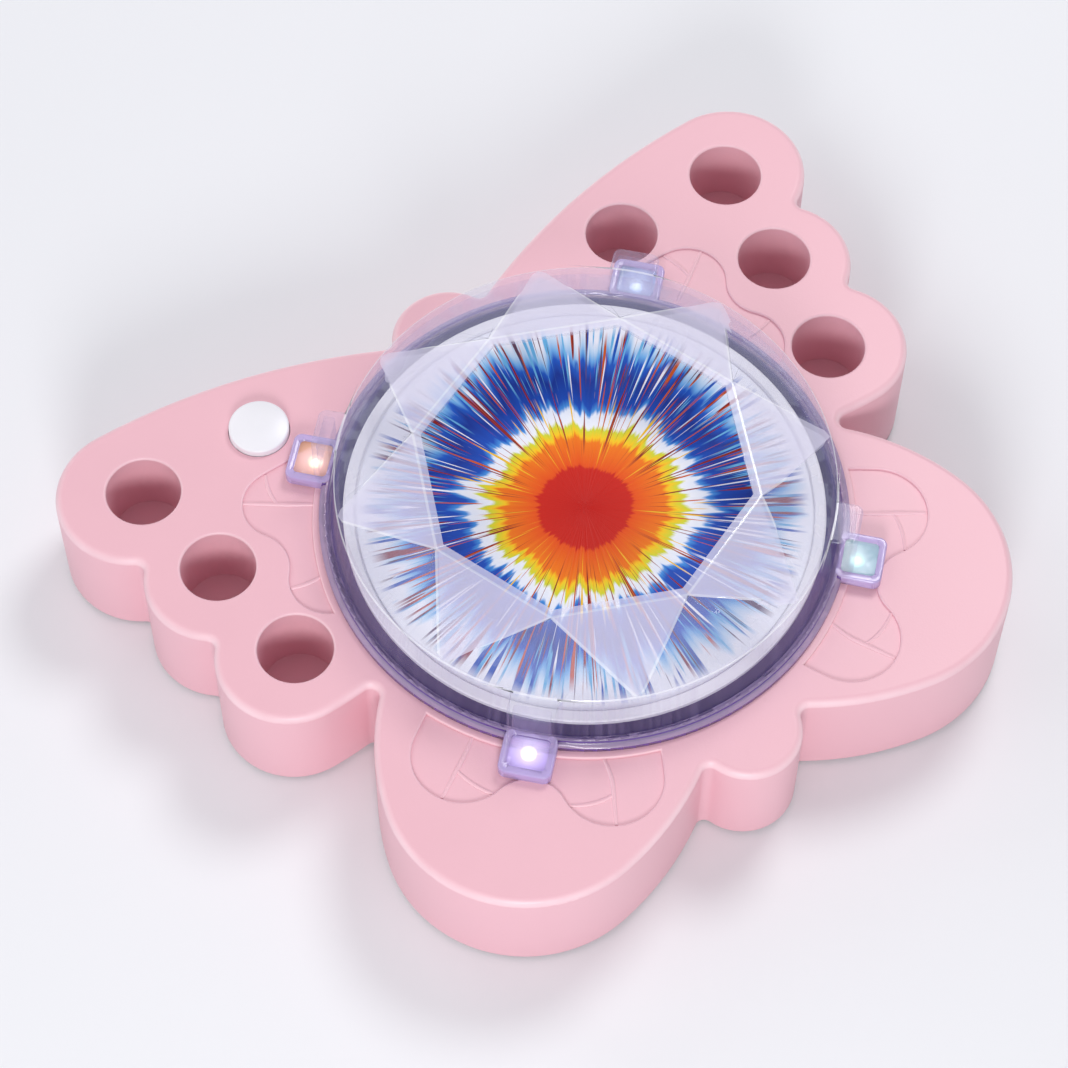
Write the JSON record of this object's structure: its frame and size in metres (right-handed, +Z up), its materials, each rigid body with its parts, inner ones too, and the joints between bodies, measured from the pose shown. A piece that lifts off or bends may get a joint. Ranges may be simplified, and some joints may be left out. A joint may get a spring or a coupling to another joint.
{
  "type": "spin art machine",
  "caption": "Butterfly-shaped, battery-driven spin art machine: a push button spins a paper disc under a gem-cut clear cover, with bottle wells in the wings.",
  "frame": {"origin": "on the turntable's axis, in the plane that the rubber feet stand on", "axes": "+X across the wings to the side with four bottle wells, +Y towards the butterfly's head, +Z up along the turntable's axis"},
  "size_m": [0.3182, 0.248, 0.0804],
  "materials": {
    "shell_pink": "satin moulded",
    "base_pink": "satin moulded",
    "bowl_purple": "gloss translucent moulded plastic",
    "cover_clear": "gloss clear moulded plastic",
    "turntable_white": "gloss moulded",
    "paper": "painted card",
    "steel": "drawn steel",
    "shaft_steel": "ground steel",
    "cap_white": "moulded",
    "screw_steel": "zinc plated",
    "button_white": "gloss moulded",
    "switch_black": "moulded",
    "board_green": "laminate with solder mask",
    "led_white_violet": "water-clear lens, lit",
    "led_warm": "water-clear lens, lit",
    "led_blue": "water-clear lens, lit",
    "led_aqua": "water-clear lens, lit",
    "battery_sleeve": "printed sleeve",
    "contact_nickel": "nickel plated spring steel",
    "lead_sheath": "soft sheath",
    "foot_rubber": "matt"
  },
  "bodies": {
    "housing": {"upper_shell": "shell_pink", "lower_shell": "base_pink", "splash_bowl": "bowl_purple", "motor_can": "steel", "motor_end_cap": "cap_white", "motor_clamp": "cap_white", "motor_clamp_screws": "screw_steel", "push_switch": "switch_black", "switch_board": "board_green", "led_fore_right": "led_blue", "led_fore_left": "led_warm", "led_hind_left": "led_white_violet", "led_hind_right": "led_aqua", "battery_left": "battery_sleeve", "battery_middle": "battery_sleeve", "battery_right": "battery_sleeve", "battery_contacts": "contact_nickel", "battery_door": "base_pink", "battery_door_screw": "screw_steel", "case_screws": "screw_steel", "bowl_screws": "screw_steel", "circuit_board": "board_green", "board_parts": "switch_black", "board_screws": "screw_steel", "led_leads": "lead_sheath", "rubber_feet": "foot_rubber", "power_leads": "lead_sheath"},
    "spinner": {"turntable": "turntable_white", "art_paper": "paper", "motor_shaft": "shaft_steel"},
    "button": {"power_button": "button_white", "switch_plunger": "switch_black"},
    "cover": {"clear_cover": "cover_clear"}
  },
  "joints": [
    {"name": "turntable_spin", "type": "hinge", "parent": "housing", "child": "spinner", "pos_m": [0, 0, 0.0505], "axis": [0, 0, 1], "continuous": true},
    {"name": "button_press", "type": "slide", "parent": "housing", "child": "button", "axis": [0, 0, -1], "range_m": [0, 0.002], "stiffness_N_per_m": 350, "springref_m": -0.003},
    {"name": "cover_lift", "type": "slide", "parent": "housing", "child": "cover", "axis": [0, 0, 1], "range_m": [0, 0.12]}
  ]
}
